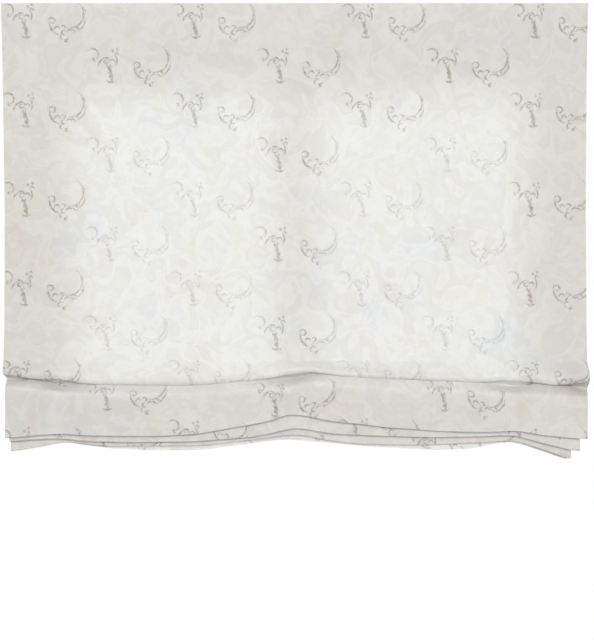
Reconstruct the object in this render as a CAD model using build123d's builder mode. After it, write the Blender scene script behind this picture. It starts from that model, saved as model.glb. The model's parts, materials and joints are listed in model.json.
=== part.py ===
"""Soft roman blind, partly raised: a printed cloth on a wall-fixed headrail.

Frame: millimetres, +X to the viewer's right, +Y into the wall, +Z up.
Origin: on the wall plane, in the middle of the line of the bracket screw holes.
"""

import os
from math import atan2, cos, radians, sin, tan

from build123d import *

os.makedirs("parts", exist_ok=True)

# ---------------------------------------------------------------- cloth
cloth_width = 1200.0
cloth_thickness = 0.9
cloth_top_z = 15.0
flat_drop = 722.0  # from the cloth's top edge to where it runs into the folds
pleat_pitch = 205.0  # from one row of rings to the next, along the cloth
split_gap = 0.3  # between the hanging cloth and the folds, which move apart
cloth_side_reveal = 3.0  # the cloth is this much wider than the rail, each side

# ---------------------------------------------------------------- headrail
rail_depth = 38.0
rail_height = 30.0
rail_wall = 1.4
rail_lip = 6.0
rail_top_z = 14.0
wall_gap = 5.5  # room behind the rail for the bracket plate and its screw heads
strip_thickness = 0.9  # hook strip and loop strip, each
strip_height = 20.0
strip_centre_z = 1.0

# ---------------------------------------------------------------- lift gear
shaft_side = 5.0
square_clearance = 0.05  # each side, between the shaft and the pieces on it
shaft_z = -3.0
running_clearance = 0.05
barrel_radius = 7.6
barrel_length = 40.0
flange_radius = 9.8
flange_thickness = 1.5
journal_radius = 4.4
journal_length = 4.2
cord_diameter = 1.4
cord_clearance = 0.4  # between the hanging cord and the bare barrel
turns_width = 18.0
turns_gap = 0.3  # between the wound turns and the cord that leaves them
eyelet_radius = 3.3
eyelet_bore_radius = 1.6
eyelet_flange_radius = 4.6
eyelet_flange_thickness = 0.8
eyelet_drop = 2.6  # how far the eyelet reaches below the rail
fit_gap = 0.1  # loose fits that do not move
cradle_base = 1.0
cradle_wall = 2.0
cradle_side_gap = 0.8  # between the spool's flange and the cradle's wall
cradle_crown = 3.6  # cradle wall left round the journal

# ---------------------------------------------------------------- rings
ring_outer_radius = 8.4
ring_wire_radius = 1.1
seat_gap = 0.3  # between a soft surface and the hard piece that it lies on
flat_rows = 3
gathered_rows = 4
first_row_drop = 50.0  # from the end of the hanging cloth to the first gathered row, on average
row_stack = 12.0  # height that one gathered row of rings takes on its cord
orb_inset = 0.4  # the orb's top is this much smaller than a ring
orb_neck_radius = 4.0
orb_height = 20.0

# ---------------------------------------------------------------- cords, from left to right
cord_names = ("left", "middle", "right")
cord_inset_left = 115.0
cord_inset_right = 148.0
middle_cord_x = 5.0

# ---------------------------------------------------------------- brackets
bracket_spacing = 400.0
bracket_names = ("left", "middle", "right")
bracket_width = 28.0
plate = 1.5
bracket_drop = 12.0  # back plate below the screw hole
screw_hole_radius = 2.3
bend_radius = 1.0
cam_length = 32.0
cam_width = 14.0
cam_thickness = 1.6
pivot_gap = 0.3  # between the turning latch and what it turns against
pin_radius = 2.0
pin_head_radius = 3.5
pin_head_height = 0.9
lever_length = 20.0
lever_width = 8.0
lever_thickness = 1.2

# ---------------------------------------------------------------- end cap and chain drive
cap_plate = 2.0
plug_length = 10.0
plug_wall = 1.6
bush_radius = 4.0
boss_wall = 2.5
drive_cover_length = 13.0
drive_cover_wall = 1.5
hub_radius = 4.15
mandrel_wall = 0.8
mandrel_length = 8.0
wheel_radius = 11.5
wheel_width = 6.0
wheel_face = 1.7
bead_radius = 2.35
bead_pitch_radius = 11.46
bead_count = 12
groove_width = 1.6
groove_depth = 1.0
cup_radius = 6.7
spring_wire_radius = 0.45
spring_pitch = 1.0
spring_turns = 6
spring_clearance = 0.1
chain_slot = 28.0
screw_radius = 1.25
screw_head_radius = 2.4
screw_head_height = 1.4
screw_boss_radius = 3.0

# ---------------------------------------------------------------- places worked out from the sizes
half_width = cloth_width / 2
orb_radius = ring_outer_radius - orb_inset
mandrel_bore_radius = hub_radius + running_clearance
mandrel_radius = mandrel_bore_radius + mandrel_wall
rail_left_x = -half_width + cloth_side_reveal + cap_plate
rail_right_x = half_width - cloth_side_reveal - cap_plate - drive_cover_length
rail_back_y = -wall_gap
rail_front_y = rail_back_y - rail_depth
rail_mid_y = (rail_back_y + rail_front_y) / 2
rail_bottom_z = rail_top_z - rail_height
rail_mid_z = (rail_top_z + rail_bottom_z) / 2
rail_floor_z = rail_bottom_z + rail_wall
cloth_back_y = rail_front_y - 2 * strip_thickness
cloth_mid_y = cloth_back_y - cloth_thickness / 2
cord_y = cloth_back_y + seat_gap + ring_outer_radius
shaft_y = cord_y + cord_diameter / 2 + cord_clearance + barrel_radius
split_z = cloth_top_z - flat_drop
cord_x = (-half_width + cord_inset_left, middle_cord_x, half_width - cord_inset_right)
first_row_z = split_z - first_row_drop
flat_row_z = [first_row_z + pleat_pitch * (flat_rows - n) for n in range(flat_rows)]

# ---------------------------------------------------------------- how the folds hang
# Each station is a place across the cloth. At the cords the folds are drawn up, between
# them they sag, and at both sides they droop. Heights are measured down from split_z:
# the crease, the bottoms of the three folds from front to back, and the hem.
folds = (
    (-half_width, 46.0, (169.0, 175.0, 195.0), 191.0),
    (cord_x[0], 58.0, (160.0, 170.0, 178.0), 176.0),
    ((cord_x[0] + cord_x[1]) / 2, 62.0, (165.0, 177.0, 186.0), 194.0),
    (cord_x[1], 40.0, (119.0, 148.0, 162.0), 172.0),
    ((cord_x[1] + cord_x[2]) / 2, 52.0, (149.0, 167.0, 183.0), 193.0),
    (cord_x[2], 63.0, (152.0, 162.0, 173.0), 179.0),
    (half_width, 68.0, (170.0, 197.0, 211.0), 215.0),
)
crease_at_cord = (folds[1][1], folds[3][1], folds[5][1])
fold_depth = 40.0  # how far the front fold stands out from the hanging cloth
layer_gap = 4.0  # from one layer of cloth to the next
layer_slope = 19.0  # degrees that the layers fall as they leave the rings
ridge_gap = 3.0  # height of the bend at each ring
bulge_depth = 26.0  # how far the cloth swells out above the first crease
bulge_level = 0.55  # height of the swelling's front, as a share of the way to the crease
underside_share = 0.75  # where the swelling turns back in, as shares of its depth and height
underside_level = 0.85
lead_drop = 7.0  # upright stretch below the hanging cloth
lead_radius = 8.0
bulge_radius = 9.0
underside_radius = 8.0
crease_radius = 1.5
knee_radius = 12.0
ridge_radius = 1.0
hem_fold_radius = 1.9


def save(piece, name):
    """Labels a finished piece and writes it."""
    piece.part.label = name
    export_step(piece.part, f"parts/{name}.step")


def box_between(low, high, mode=Mode.ADD):
    """A block from its lowest to its highest corner."""
    centre = tuple((a + b) / 2 for a, b in zip(low, high))
    size = tuple(b - a for a, b in zip(low, high))
    with Locations(centre):
        Box(*size, mode=mode)


def shaft_plane(x):
    """A plane across the shaft at x, whose own axes run along +Y and +Z."""
    return Plane(origin=(x, shaft_y, shaft_z), x_dir=(0, 1, 0), z_dir=(1, 0, 0))


# ================================================================ headrail and its ends
with BuildPart() as headrail:
    with BuildSketch(Plane.YZ.offset(rail_left_x)):
        with Locations((rail_mid_y, rail_mid_z)):
            Rectangle(rail_depth, rail_height)
            Rectangle(rail_depth - 2 * rail_wall, rail_height - 2 * rail_wall, mode=Mode.SUBTRACT)
        with Locations((rail_mid_y, rail_top_z)):
            Rectangle(rail_depth - 2 * (rail_wall + rail_lip), 3 * rail_wall, mode=Mode.SUBTRACT)
    extrude(amount=rail_right_x - rail_left_x)
    with Locations(*[(x, cord_y, rail_floor_z) for x in cord_x]):
        Hole(eyelet_radius + fit_gap, depth=2 * rail_wall)
save(headrail, "headrail")

strip_low_z = strip_centre_z - strip_height / 2
strip_high_z = strip_centre_z + strip_height / 2
loop_front_y = rail_front_y - 2 * strip_thickness
with BuildPart() as hook_strip:
    box_between(
        (rail_left_x, rail_front_y - strip_thickness, strip_low_z),
        (rail_right_x, rail_front_y, strip_high_z),
    )
save(hook_strip, "hook_strip")

with BuildPart() as loop_strip:
    box_between(
        (rail_left_x, loop_front_y, strip_low_z),
        (rail_right_x, rail_front_y - strip_thickness, strip_high_z),
    )
save(loop_strip, "loop_strip")


def make_rail_plug(plate_x, direction):
    """A cover plate on the rail's end and the hollow plug that holds it in the rail.

    plate_x is the rail's end, and direction is +1 or -1, into the rail.
    """
    inner_depth = rail_depth - 2 * (rail_wall + fit_gap)
    inner_height = rail_height - 2 * (rail_wall + fit_gap)
    with BuildPart() as rail_plug:
        with BuildSketch(Plane.YZ.offset(plate_x)):
            with Locations((rail_mid_y, rail_mid_z)):
                RectangleRounded(rail_depth, rail_height, rail_wall)
        extrude(amount=-direction * cap_plate)
        with BuildSketch(Plane.YZ.offset(plate_x)):
            with Locations((rail_mid_y, rail_mid_z)):
                Rectangle(inner_depth, inner_height)
                Rectangle(inner_depth - 2 * plug_wall, inner_height - 2 * plug_wall, mode=Mode.SUBTRACT)
        extrude(amount=direction * plug_length)
    return rail_plug


left_plug = make_rail_plug(rail_left_x, 1)
with BuildPart() as end_cap:
    add(left_plug.part)
    with BuildSketch(shaft_plane(rail_left_x)):
        Circle(bush_radius + running_clearance + boss_wall)
    extrude(amount=plug_length)
    with BuildSketch(shaft_plane(rail_left_x)):
        Circle(bush_radius + running_clearance)
    extrude(amount=plug_length, mode=Mode.SUBTRACT)
save(end_cap, "end_cap")

bush_start_x = rail_left_x + seat_gap
with BuildPart() as shaft_bush:
    with BuildSketch(shaft_plane(bush_start_x)):
        Circle(bush_radius)
        Rectangle(*[shaft_side + 2 * square_clearance] * 2, mode=Mode.SUBTRACT)
    extrude(amount=plug_length)
save(shaft_bush, "shaft_bush")

# ================================================================ chain drive at the right end
drive_outer_x = rail_right_x + cap_plate
cover_end_x = drive_outer_x + drive_cover_length
wheel_end_x = drive_outer_x + mandrel_length + seat_gap + wheel_face
screw_spots = [
    (rail_back_y - screw_boss_radius - drive_cover_wall / 2, z)
    for z in (
        rail_top_z - screw_boss_radius - drive_cover_wall / 2,
        rail_bottom_z + screw_boss_radius + drive_cover_wall / 2,
    )
]

right_plug = make_rail_plug(rail_right_x, -1)
with BuildPart() as drive_plate:
    add(right_plug.part)
    with BuildSketch(shaft_plane(drive_outer_x)):
        Circle(mandrel_radius)
    extrude(amount=mandrel_length)
    with BuildSketch(shaft_plane(rail_right_x)):
        Circle(mandrel_bore_radius)
    extrude(amount=cap_plate + mandrel_length, mode=Mode.SUBTRACT)
    with BuildSketch(Plane.YZ.offset(rail_right_x)):
        with Locations(*screw_spots):
            Circle(screw_radius + fit_gap)
    extrude(amount=cap_plate, mode=Mode.SUBTRACT)
save(drive_plate, "drive_plate")

with BuildPart() as chain_wheel:
    # sprocket rim, cup and face, then the hub that runs in the mandrel
    with BuildSketch(shaft_plane(wheel_end_x)):
        Circle(wheel_radius)
    extrude(amount=-wheel_width)
    with BuildSketch(shaft_plane(wheel_end_x)):
        Circle(cup_radius + boss_wall)
    extrude(amount=-(mandrel_length + wheel_face - seat_gap))
    with BuildSketch(shaft_plane(wheel_end_x - wheel_face)):
        Circle(cup_radius)
    extrude(amount=-mandrel_length, mode=Mode.SUBTRACT)
    with BuildSketch(shaft_plane(wheel_end_x - wheel_face)):
        Circle(hub_radius)
    extrude(amount=-(mandrel_length + cap_plate))
    # cups for the chain's beads, joined by a groove for the cord between them
    with Locations(shaft_plane(wheel_end_x - wheel_width / 2)):
        with PolarLocations(bead_pitch_radius, bead_count):
            Sphere(bead_radius, rotation=(90, 0, 0), mode=Mode.SUBTRACT)
    with BuildSketch(shaft_plane(wheel_end_x - wheel_width / 2)):
        Circle(wheel_radius + groove_depth)
        Circle(wheel_radius - groove_depth, mode=Mode.SUBTRACT)
    extrude(amount=groove_width / 2, both=True, mode=Mode.SUBTRACT)
    with BuildSketch(shaft_plane(wheel_end_x - 3 * mandrel_length)):
        Rectangle(*[shaft_side + 2 * square_clearance] * 2)
    extrude(amount=3 * mandrel_length - wheel_face, mode=Mode.SUBTRACT)
save(chain_wheel, "chain_wheel")

spring_radius = mandrel_radius + spring_clearance + spring_wire_radius
spring_start_x = drive_outer_x + spring_wire_radius + seat_gap
with BuildPart() as clutch_spring:
    with BuildLine() as coil:
        Helix(
            spring_pitch,
            spring_pitch * spring_turns,
            spring_radius,
            center=(spring_start_x, shaft_y, shaft_z),
            direction=(1, 0, 0),
        )
    with BuildSketch(Plane(origin=coil.line @ 0, z_dir=coil.line % 0)):
        Circle(spring_wire_radius)
    sweep(path=coil.line, is_frenet=True)
save(clutch_spring, "clutch_spring")

with BuildPart() as drive_cover:
    with BuildSketch(Plane.YZ.offset(drive_outer_x)):
        with Locations((rail_mid_y, rail_mid_z)):
            RectangleRounded(rail_depth, rail_height, rail_wall)
    extrude(amount=drive_cover_length)
    fillet(faces().sort_by(Axis.X)[-1].edges(), rail_wall / 2)
    inner_low = (drive_outer_x, rail_front_y + drive_cover_wall, rail_bottom_z + drive_cover_wall)
    inner_high = (
        cover_end_x - drive_cover_wall,
        rail_back_y - drive_cover_wall,
        rail_top_z - drive_cover_wall,
    )
    box_between(inner_low, inner_high, mode=Mode.SUBTRACT)
    # the chain's way out, through the bottom wall
    box_between(
        (drive_outer_x + drive_cover_wall, shaft_y - chain_slot / 2, rail_bottom_z - drive_cover_wall),
        (cover_end_x - drive_cover_wall, shaft_y + chain_slot / 2, rail_mid_z - rail_height / 4),
        mode=Mode.SUBTRACT,
    )
    with BuildSketch(Plane.YZ.offset(drive_outer_x)):
        with Locations(*screw_spots):
            Circle(screw_boss_radius)
    extrude(amount=drive_cover_length - drive_cover_wall)
    with BuildSketch(Plane.YZ.offset(drive_outer_x)):
        with Locations(*screw_spots):
            Circle(screw_radius + fit_gap)
    extrude(amount=drive_cover_length, mode=Mode.SUBTRACT)
save(drive_cover, "drive_cover")

with BuildPart() as drive_screws:
    with BuildSketch(Plane.YZ.offset(cover_end_x)):
        with Locations(*screw_spots):
            Circle(screw_head_radius)
    extrude(amount=screw_head_height)
    with BuildSketch(Plane.YZ.offset(cover_end_x)):
        with Locations(*screw_spots):
            Circle(screw_radius)
    extrude(amount=-(drive_cover_length + cap_plate))
    with BuildSketch(Plane.YZ.offset(cover_end_x + screw_head_height)):
        with Locations(*screw_spots):
            Rectangle(2 * screw_radius, screw_radius / 3)
            Rectangle(screw_radius / 3, 2 * screw_radius)
    extrude(amount=-screw_head_height / 2, mode=Mode.SUBTRACT)
save(drive_screws, "drive_screws")

with BuildPart() as drive_shaft:
    with BuildSketch(shaft_plane(bush_start_x + fit_gap)):
        Rectangle(shaft_side, shaft_side)
    extrude(amount=wheel_end_x - wheel_face - fit_gap - bush_start_x - fit_gap)
save(drive_shaft, "drive_shaft")


# ================================================================ one set of lift gear for each cord
def make_spool(x):
    """The drum that winds one lift cord: barrel, two flanges, two journals and a square bore."""
    half_barrel = barrel_length / 2
    half_flanges = half_barrel + flange_thickness
    with BuildPart() as spool:
        for reach, radius in (
            (half_flanges + journal_length, journal_radius),
            (half_flanges, flange_radius),
        ):
            with BuildSketch(shaft_plane(x)):
                Circle(radius)
            extrude(amount=reach, both=True)
        with BuildSketch(shaft_plane(x)):
            Circle(flange_radius)
            Circle(barrel_radius, mode=Mode.SUBTRACT)
        extrude(amount=half_barrel, both=True, mode=Mode.SUBTRACT)
        with BuildSketch(shaft_plane(x)):
            Rectangle(*[shaft_side + 2 * square_clearance] * 2)
        extrude(amount=half_flanges + journal_length, both=True, mode=Mode.SUBTRACT)
    return spool


def make_cradle(x):
    """The open seat that carries one drum in the rail: a base and two bearing walls."""
    wall_in = barrel_length / 2 + flange_thickness + cradle_side_gap
    wall_out = wall_in + cradle_wall
    half_depth = rail_depth / 2 - rail_wall - fit_gap
    crown = journal_radius + cradle_crown
    base_top_z = rail_floor_z + cradle_base
    with BuildPart() as cradle:
        box_between(
            (x - wall_out, rail_mid_y - half_depth, rail_floor_z),
            (x + wall_out, rail_mid_y + half_depth, base_top_z),
        )
        for side in (-1, 1):
            inner_face = x + side * wall_in
            with BuildSketch(shaft_plane(inner_face)):
                Circle(crown)
                with Locations((0, (rail_floor_z - shaft_z) / 2)):
                    Rectangle(2 * crown, shaft_z - rail_floor_z)
                Circle(journal_radius + running_clearance, mode=Mode.SUBTRACT)
                # snap-in mouth, a little narrower than the journal
                with Locations((0, crown / 2)):
                    Rectangle(1.8 * journal_radius, crown, mode=Mode.SUBTRACT)
            extrude(amount=side * cradle_wall)
        with Locations((x, cord_y, base_top_z)):
            Hole(eyelet_flange_radius + fit_gap, depth=cradle_base)
    return cradle


def make_eyelet(x):
    """The flanged bush that leads a cord out through the rail's floor."""
    with BuildPart() as eyelet:
        with BuildSketch(Plane.XY.offset(rail_bottom_z - eyelet_drop)):
            with Locations((x, cord_y)):
                Circle(eyelet_radius)
        extrude(amount=rail_floor_z - rail_bottom_z + eyelet_drop)
        with BuildSketch(Plane.XY.offset(rail_floor_z)):
            with Locations((x, cord_y)):
                Circle(eyelet_flange_radius)
        extrude(amount=eyelet_flange_thickness)
        with Locations((x, cord_y, rail_floor_z + eyelet_flange_thickness)):
            Hole(eyelet_bore_radius)
        rims = edges().filter_by(GeomType.CIRCLE).group_by(Axis.Z)
        fillet(rims[0], (eyelet_radius - eyelet_bore_radius) / 3)
    return eyelet


def make_turns(x):
    """The cord that is wound on the drum at this height, as one sleeve."""
    with BuildPart() as turns:
        with BuildSketch(shaft_plane(x - cord_diameter / 2 - turns_gap)):
            Circle(barrel_radius + cord_diameter)
            Circle(barrel_radius, mode=Mode.SUBTRACT)
        extrude(amount=-turns_width)
        fillet(edges().filter_by(GeomType.CIRCLE).sort_by(SortBy.RADIUS)[-2:], cord_diameter / 3)
    return turns


def make_cord(x, end_z):
    """The lift cord from its drum, down through the rings, to the orb."""
    with BuildPart() as cord:
        with BuildSketch(Plane.XY.offset(end_z)):
            with Locations((x, cord_y)):
                Circle(cord_diameter / 2)
        extrude(amount=shaft_z - end_z)
    return cord


def make_orb(x, top_z):
    """The bored orb under the lowest ring, which carries the cloth on the cord."""
    bore = cord_diameter  # twice the cord's own radius, so that the cord threads it
    with BuildPart() as orb:
        with BuildSketch(Plane(origin=(x, cord_y, top_z), x_dir=(1, 0, 0), z_dir=(0, -1, 0))):
            with BuildLine():
                Line((bore, 0), (orb_radius, 0))
                Line((orb_radius, 0), (orb_radius, -orb_height / 4))
                TangentArc((orb_radius, -orb_height / 4), (orb_neck_radius, -orb_height), tangent=(0, -1))
                Line((orb_neck_radius, -orb_height), (bore, -orb_height))
                Line((bore, -orb_height), (bore, 0))
            make_face()
        revolve(axis=Axis((x, cord_y, 0), (0, 0, 1)))
        fillet(edges().group_by(Axis.Z)[-1].sort_by(SortBy.LENGTH)[-1], orb_radius / 8)
    return orb


for name, x, crease in zip(cord_names, cord_x, crease_at_cord):
    lowest_ring_z = split_z - crease - (gathered_rows - 1) * row_stack
    orb_top_z = lowest_ring_z - ring_wire_radius - seat_gap
    save(make_spool(x), f"cord_spool_{name}")
    save(make_cradle(x), f"spool_cradle_{name}")
    save(make_eyelet(x), f"cord_eyelet_{name}")
    save(make_turns(x), f"cord_turns_{name}")
    save(make_cord(x, orb_top_z - orb_height), f"lift_cord_{name}")
    save(make_orb(x, orb_top_z), f"cord_orb_{name}")


# ================================================================ rings, one node for each row
def make_ring_row(heights):
    """One row of rings, a ring for each cord, sewn to the back of the cloth."""
    with BuildPart() as row:
        for x, z in zip(cord_x, heights):
            with Locations((x, cord_y, z)):
                Torus(ring_outer_radius - ring_wire_radius, ring_wire_radius)
    return row


for number, z in enumerate(flat_row_z, start=1):
    save(make_ring_row([z] * len(cord_x)), f"ring_row_{number}")
for number in range(gathered_rows):
    heights = [split_z - crease - number * row_stack for crease in crease_at_cord]
    save(make_ring_row(heights), f"ring_row_{flat_rows + number + 1}")


# ================================================================ wall brackets with turning latches
lip_under_z = rail_top_z - rail_wall
cam_top_z = lip_under_z - pivot_gap
cam_low_z = cam_top_z - cam_thickness
lever_low_z = rail_top_z + plate + pivot_gap
lever_high_z = lever_low_z + lever_thickness
bracket_front_y = rail_front_y + bend_radius / 2


def make_bracket(x):
    """An L of sheet steel: a back plate on the wall and a top plate over the rail."""
    top_z = rail_top_z + plate
    with BuildPart() as bracket:
        with BuildSketch(Plane.YZ.offset(x - bracket_width / 2)):
            with BuildLine():
                Polyline(
                    (0, -bracket_drop),
                    (0, top_z),
                    (bracket_front_y, top_z),
                    (bracket_front_y, rail_top_z),
                    (-plate, rail_top_z),
                    (-plate, -bracket_drop),
                    close=True,
                )
            make_face()
        extrude(amount=bracket_width)
        bend = edges().filter_by(Axis.X)
        fillet(bend.sort_by_distance((x, 0, top_z))[0], plate + bend_radius)
        fillet(edges().filter_by(Axis.X).sort_by_distance((x, -plate, rail_top_z))[0], bend_radius)
        with BuildSketch(Plane.XZ):
            with Locations((x, 0)):
                Circle(screw_hole_radius)
        extrude(amount=plate, mode=Mode.SUBTRACT)
        with BuildSketch(Plane.XY.offset(rail_top_z)):
            with Locations((x, rail_mid_y)):
                Circle(pin_radius + running_clearance)
        extrude(amount=plate, mode=Mode.SUBTRACT)
    return bracket


def make_cam(x):
    """The oblong cam that turns under the rail's two lips and clamps it to the bracket."""
    with BuildPart() as cam:
        with BuildSketch(Plane.XY.offset(cam_low_z)):
            with Locations((x, rail_mid_y)):
                SlotOverall(cam_length, cam_width, rotation=90)
                Circle(pin_radius + fit_gap / 2, mode=Mode.SUBTRACT)
        extrude(amount=cam_thickness)
    return cam


def make_lever(x):
    """The thumb lever on top of the bracket, fast on the same pin as the cam."""
    with BuildPart() as lever:
        with BuildSketch(Plane.XY.offset(lever_low_z)):
            with Locations((x + lever_length / 2 - lever_width / 4, rail_mid_y)):
                SlotOverall(lever_length + lever_width / 2, lever_width)
            with Locations((x, rail_mid_y)):
                Circle(pin_radius + fit_gap / 2, mode=Mode.SUBTRACT)
        extrude(amount=lever_thickness)
    return lever


def make_pin(x):
    """The headed pin through lever, bracket and cam."""
    with BuildPart() as pin:
        with BuildSketch(Plane.XY.offset(cam_low_z)):
            with Locations((x, rail_mid_y)):
                Circle(pin_radius)
        extrude(amount=lever_high_z - cam_low_z)
        for head_z in (cam_low_z - pin_head_height, lever_high_z):
            with BuildSketch(Plane.XY.offset(head_z)):
                with Locations((x, rail_mid_y)):
                    Circle(pin_head_radius)
            extrude(amount=pin_head_height)
    return pin


for number, name in enumerate(bracket_names):
    x = (number - 1) * bracket_spacing
    save(make_bracket(x), f"wall_bracket_{name}")
    save(make_cam(x), f"bracket_cam_{name}")
    save(make_lever(x), f"bracket_lever_{name}")
    save(make_pin(x), f"bracket_pin_{name}")


# ================================================================ cloth
with BuildPart() as fabric_panel:
    box_between(
        (-half_width, cloth_back_y - cloth_thickness, split_z + split_gap / 2),
        (half_width, cloth_back_y, cloth_top_z),
    )
save(fabric_panel, "fabric_panel")


def fold_route(crease, bottoms, hem):
    """The cloth's middle line at one station, as (y, z, bend radius) from the split to the hem.

    The cloth swells out, turns back in to the first crease, and then makes one fold after
    another. Each fold runs forward from a row of rings, bends at its knee, hangs to its bottom,
    turns back up behind itself and returns to the next row, where it bends over a narrow ridge.
    """
    slope = tan(radians(layer_slope))
    ridge_back = ridge_gap * sin(radians(layer_slope)) * cos(radians(layer_slope))
    crease_z = split_z - crease
    underside_y = cloth_mid_y - underside_share * bulge_depth
    underside_z = split_z - underside_level * crease
    # the crease's corner lies behind the cloth, so that its rounded tip just reaches the ring
    crease_angle = radians(layer_slope) + atan2(underside_z - crease_z, cloth_mid_y - underside_y)
    crease_reach = crease_radius * (1 / sin(crease_angle / 2) - 1)
    route = [
        (cloth_mid_y, split_z - split_gap / 2, 0),
        (cloth_mid_y, split_z - lead_drop, lead_radius),
        (cloth_mid_y - bulge_depth, split_z - bulge_level * crease, bulge_radius),
        (underside_y, underside_z, underside_radius),
        (cloth_mid_y + crease_reach, crease_z, crease_radius),
    ]
    for number, bottom in enumerate(bottoms):
        front_depth = fold_depth - 2 * number * layer_gap
        back_depth = front_depth - layer_gap
        front_start_z = crease_z - number * row_stack
        back_start_z = front_start_z - row_stack + ridge_gap
        bottom_z = split_z - bottom
        route += [
            (cloth_mid_y - front_depth, front_start_z - slope * front_depth, knee_radius),
            (cloth_mid_y - front_depth, bottom_z, hem_fold_radius),
            (cloth_mid_y - back_depth, bottom_z, hem_fold_radius),
            (cloth_mid_y - back_depth, back_start_z - slope * back_depth, knee_radius),
            (cloth_mid_y - ridge_back, back_start_z - slope * ridge_back, ridge_radius),
            (cloth_mid_y, back_start_z - ridge_gap, ridge_radius),
        ]
    hem_depth = fold_depth - 2 * len(bottoms) * layer_gap
    hem_start_z = crease_z - len(bottoms) * row_stack
    route += [
        (cloth_mid_y - hem_depth, hem_start_z - slope * hem_depth, knee_radius),
        (cloth_mid_y - hem_depth, split_z - hem, 0),
    ]
    return route


def side_of(route, offset):
    """The route moved sideways by offset, to the left of its direction if that is positive."""
    ends = [Vector(y, z) for y, z, _ in route]
    steps = [(b - a).normalized() for a, b in zip(ends, ends[1:])]
    moved, radii = [], []
    for n, (_, _, radius) in enumerate(route):
        before, after = steps[max(n - 1, 0)], steps[min(n, len(steps) - 1)]
        left_before = Vector(-before.Y, before.X)
        left_after = Vector(-after.Y, after.X)
        miter = (left_before + left_after).normalized()
        moved.append(ends[n] + miter * (offset / miter.dot(left_before)))
        turn = before.X * after.Y - before.Y * after.X
        radii.append(radius - offset if turn > 0 else radius + offset)
    return moved, radii[1:-1]


with BuildPart() as fabric_folds:
    for x, crease, bottoms, hem in folds:
        route = fold_route(crease, bottoms, hem)
        left, left_radii = side_of(route, cloth_thickness / 2)
        right, right_radii = side_of(route, -cloth_thickness / 2)
        with BuildSketch(Plane.YZ.offset(x)):
            with BuildLine():
                FilletPolyline(*left, radius=left_radii)
                Line(left[-1], right[-1])
                FilletPolyline(*right, radius=right_radii)
                Line(right[0], left[0])
            make_face()
    loft()
save(fabric_folds, "fabric_folds")
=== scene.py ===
"""Soft roman blind, partly raised, dressed over its packed mechanical model.

Run as a script in Blender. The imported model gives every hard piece, its place and its joints.
This file adds the cloth, the cords and the stitching, finishes every surface, and sets the stage.
All sizes are in metres, in the model's own frame: +X to the right, +Y into the wall, +Z up.
"""

import json
from math import pi, radians, tau

import bpy
import numpy as np
from bpy.props import FloatProperty, FloatVectorProperty, IntProperty, PointerProperty
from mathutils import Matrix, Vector


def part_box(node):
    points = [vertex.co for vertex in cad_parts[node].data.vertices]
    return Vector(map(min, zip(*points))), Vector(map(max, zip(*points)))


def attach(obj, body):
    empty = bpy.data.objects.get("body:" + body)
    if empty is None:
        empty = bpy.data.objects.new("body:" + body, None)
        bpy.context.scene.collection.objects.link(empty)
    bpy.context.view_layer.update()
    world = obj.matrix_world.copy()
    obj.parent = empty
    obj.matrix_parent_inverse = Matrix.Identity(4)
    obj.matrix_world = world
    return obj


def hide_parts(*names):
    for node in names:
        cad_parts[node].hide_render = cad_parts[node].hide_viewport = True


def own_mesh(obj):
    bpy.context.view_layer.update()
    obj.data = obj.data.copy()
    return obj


bl_info = {
    "name": "Soft roman blind",
    "version": (1, 0, 0),
    "blender": (4, 5, 0),
    "location": "3D View > Sidebar > Blind",
    "description": "Makes a printed soft roman blind with its cords, stitching, finishes and stage",
    "category": "Add Mesh",
}

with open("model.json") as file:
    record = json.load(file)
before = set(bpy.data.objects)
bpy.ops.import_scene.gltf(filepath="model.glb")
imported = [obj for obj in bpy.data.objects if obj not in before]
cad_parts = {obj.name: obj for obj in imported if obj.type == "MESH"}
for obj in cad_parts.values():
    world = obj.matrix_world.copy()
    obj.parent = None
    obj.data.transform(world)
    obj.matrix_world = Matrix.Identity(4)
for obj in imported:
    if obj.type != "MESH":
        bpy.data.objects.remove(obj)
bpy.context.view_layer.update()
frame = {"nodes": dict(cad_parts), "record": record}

MM = 0.001
CORDS = ("left", "middle", "right")

# ---------------------------------------------------------------- places read from the frame
PANEL_LOW, PANEL_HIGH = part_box("fabric_panel")
FOLDS_LOW, FOLDS_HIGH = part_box("fabric_folds")
CLOTH_TOP = PANEL_HIGH.z
CLOTH_Y = (PANEL_LOW.y + PANEL_HIGH.y) / 2
CLOTH_THICKNESS = PANEL_HIGH.y - PANEL_LOW.y
CLOTH_WIDTH = PANEL_HIGH.x - PANEL_LOW.x
SPLIT_Z = (PANEL_LOW.z + FOLDS_HIGH.z) / 2
FLAT_DROP = CLOTH_TOP - SPLIT_Z


def middle_of(node):
    """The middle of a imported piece's box."""
    low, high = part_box(node)
    return (low + high) / 2


CORD_X = np.array([middle_of(f"lift_cord_{name}").x for name in CORDS])

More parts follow.
